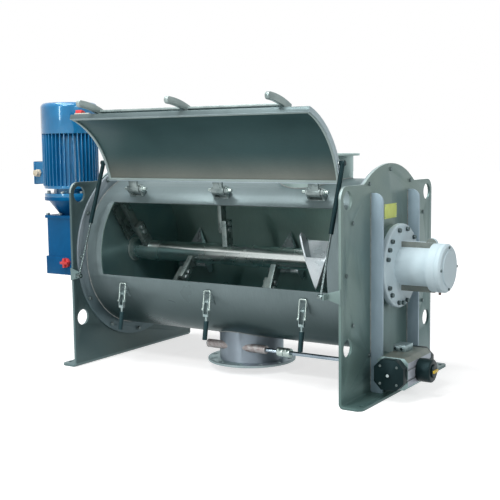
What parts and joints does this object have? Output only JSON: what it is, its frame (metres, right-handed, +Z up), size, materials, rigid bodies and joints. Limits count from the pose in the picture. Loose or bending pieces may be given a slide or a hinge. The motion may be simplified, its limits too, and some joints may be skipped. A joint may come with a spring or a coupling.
{
  "type": "ploughshare mixer",
  "caption": "Horizontal ploughshare mixer: steel drum between two end plates, hinged front door with gas struts, vertical geared motor, outboard bearing and discharge flap with actuator.",
  "frame": {"origin": "centre of the floor anchor pattern, on the floor", "axes": "+X along the drum towards the outboard bearing, -Y towards the door, +Z up"},
  "size_m": [2.504, 1.1594, 1.367],
  "materials": {
    "stainless": "satin",
    "polished_steel": "polished",
    "steel_bolts": "satin",
    "rib_grey": "satin",
    "white_paint": "satin",
    "blue_paint": "gloss",
    "black_plastic": "satin",
    "red_plastic": "satin",
    "beige_plastic": "satin",
    "aluminium": "satin",
    "seal_rubber": "matte",
    "yellow_plate": "satin",
    "indicator_yellow": "gloss"
  },
  "bodies": {
    "frame": {"left_end_plate": "stainless", "right_end_plate": "stainless", "plate_ribs": "rib_grey", "drum_shell": "stainless", "left_drum_ring": "stainless", "right_drum_ring": "stainless", "ring_bolts": "steel_bolts", "inlet_nozzle": "stainless", "outlet_pipe": "stainless", "hinge_lugs": "stainless", "hinge_pins": "polished_steel", "strut_brackets": "stainless", "latch_bases": "stainless", "seal_housings": "stainless", "shaft_seals": "seal_rubber", "shaft_bearings": "polished_steel", "right_bearing_housing": "white_paint", "right_bearing_cap": "white_paint", "left_bearing_housing": "white_paint", "drive_bolts": "steel_bolts", "gear_housing": "blue_paint", "motor_adapter": "blue_paint", "motor_housing": "blue_paint", "fan_cowl": "blue_paint", "terminal_box": "blue_paint", "cable_gland": "beige_plastic", "transport_plug": "red_plastic", "actuator_body": "aluminium", "actuator_end_caps": "black_plastic", "actuator_console": "stainless", "switch_box": "black_plastic", "air_block": "aluminium", "rating_plate": "yellow_plate"},
    "rotor": {"mixing_shaft": "polished_steel", "plough_holders": "stainless", "ploughs": "polished_steel", "end_scrapers": "polished_steel", "arm_bolts": "steel_bolts"},
    "motor_spindle": {"motor_rotor": "polished_steel"},
    "flap": {"discharge_flap": "stainless", "flap_shaft": "polished_steel", "flap_coupling": "stainless", "position_indicator": "indicator_yellow"},
    "door": {"door_panel": "stainless", "door_rim": "stainless", "door_seal": "seal_rubber", "door_knuckles": "stainless", "keeper_arms": "stainless", "strut_studs": "polished_steel", "interlock_actuator": "red_plastic"},
    "left_rod": {"left_strut_rod": "steel_bolts"},
    "left_cylinder": {"left_strut_cylinder": "black_plastic"},
    "right_rod": {"right_strut_rod": "steel_bolts"},
    "right_cylinder": {"right_strut_cylinder": "black_plastic"},
    "latch_1": {"latch_lever_1": "black_plastic"},
    "bow_1": {"latch_bow_1": "steel_bolts"},
    "latch_2": {"latch_lever_2": "black_plastic"},
    "bow_2": {"latch_bow_2": "steel_bolts"},
    "latch_3": {"latch_lever_3": "black_plastic"},
    "bow_3": {"latch_bow_3": "steel_bolts"}
  },
  "joints": [
    {"name": "rotor_spin", "type": "hinge", "parent": "frame", "child": "rotor", "pos_m": [0, 0, 0.564], "axis": [1, 0, 0], "continuous": true},
    {"name": "motor_spin", "type": "hinge", "parent": "frame", "child": "motor_spindle", "pos_m": [-1.212, 0, 1], "axis": [0, 0, 1], "continuous": true},
    {"name": "door_hinge", "type": "hinge", "parent": "frame", "child": "door", "pos_m": [0, -0.26209, 0.90742], "axis": [-1, 0, 0], "range_deg": [-122.9, 0]},
    {"name": "flap_hinge", "type": "hinge", "parent": "frame", "child": "flap", "pos_m": [0, -0.135, 0.125], "axis": [-1, 0, 0], "range_deg": [0, 80]},
    {"name": "left_strut_swing", "type": "hinge", "parent": "frame", "child": "left_rod", "pos_m": [-0.684, -0.52, 0.481], "axis": [-1, 0, 0], "range_deg": [0, 9.7]},
    {"name": "left_strut_slide", "type": "slide", "parent": "left_rod", "child": "left_cylinder", "axis": [0, 0.3434, 0.9392], "range_m": [-0.23667, 0]},
    {"name": "right_strut_swing", "type": "hinge", "parent": "frame", "child": "right_rod", "pos_m": [0.684, -0.52, 0.481], "axis": [-1, 0, 0], "range_deg": [0, 9.7]},
    {"name": "right_strut_slide", "type": "slide", "parent": "right_rod", "child": "right_cylinder", "axis": [0, 0.3434, 0.9392], "range_m": [-0.23667, 0]},
    {"name": "latch_1_lever", "type": "hinge", "parent": "frame", "child": "latch_1", "pos_m": [-0.52, -0.38093, 0.38475], "axis": [-1, 0, 0], "range_deg": [0, 85]},
    {"name": "latch_1_bow", "type": "hinge", "parent": "latch_1", "child": "bow_1", "pos_m": [-0.52, -0.39408, 0.35092], "axis": [1, 0, 0], "range_deg": [0, 93.6]},
    {"name": "latch_2_lever", "type": "hinge", "parent": "frame", "child": "latch_2", "pos_m": [0, -0.38093, 0.38475], "axis": [-1, 0, 0], "range_deg": [0, 85]},
    {"name": "latch_2_bow", "type": "hinge", "parent": "latch_2", "child": "bow_2", "pos_m": [0, -0.39408, 0.35092], "axis": [1, 0, 0], "range_deg": [0, 93.6]},
    {"name": "latch_3_lever", "type": "hinge", "parent": "frame", "child": "latch_3", "pos_m": [0.52, -0.38093, 0.38475], "axis": [-1, 0, 0], "range_deg": [0, 85]},
    {"name": "latch_3_bow", "type": "hinge", "parent": "latch_3", "child": "bow_3", "pos_m": [0.52, -0.39408, 0.35092], "axis": [1, 0, 0], "range_deg": [0, 93.6]}
  ],
  "couplings": [
    {"joint": "motor_spin", "follows": "rotor_spin", "ratio": 13},
    {"joint": "left_strut_swing", "follows": "door_hinge", "ratio": -0.078838},
    {"joint": "left_strut_slide", "follows": "door_hinge", "m_per_rad": 0.11029},
    {"joint": "right_strut_swing", "follows": "door_hinge", "ratio": -0.078838},
    {"joint": "right_strut_slide", "follows": "door_hinge", "m_per_rad": 0.11029},
    {"joint": "latch_1_bow", "follows": "latch_1_lever", "ratio": 1.1},
    {"joint": "latch_2_bow", "follows": "latch_2_lever", "ratio": 1.1},
    {"joint": "latch_3_bow", "follows": "latch_3_lever", "ratio": 1.1}
  ]
}
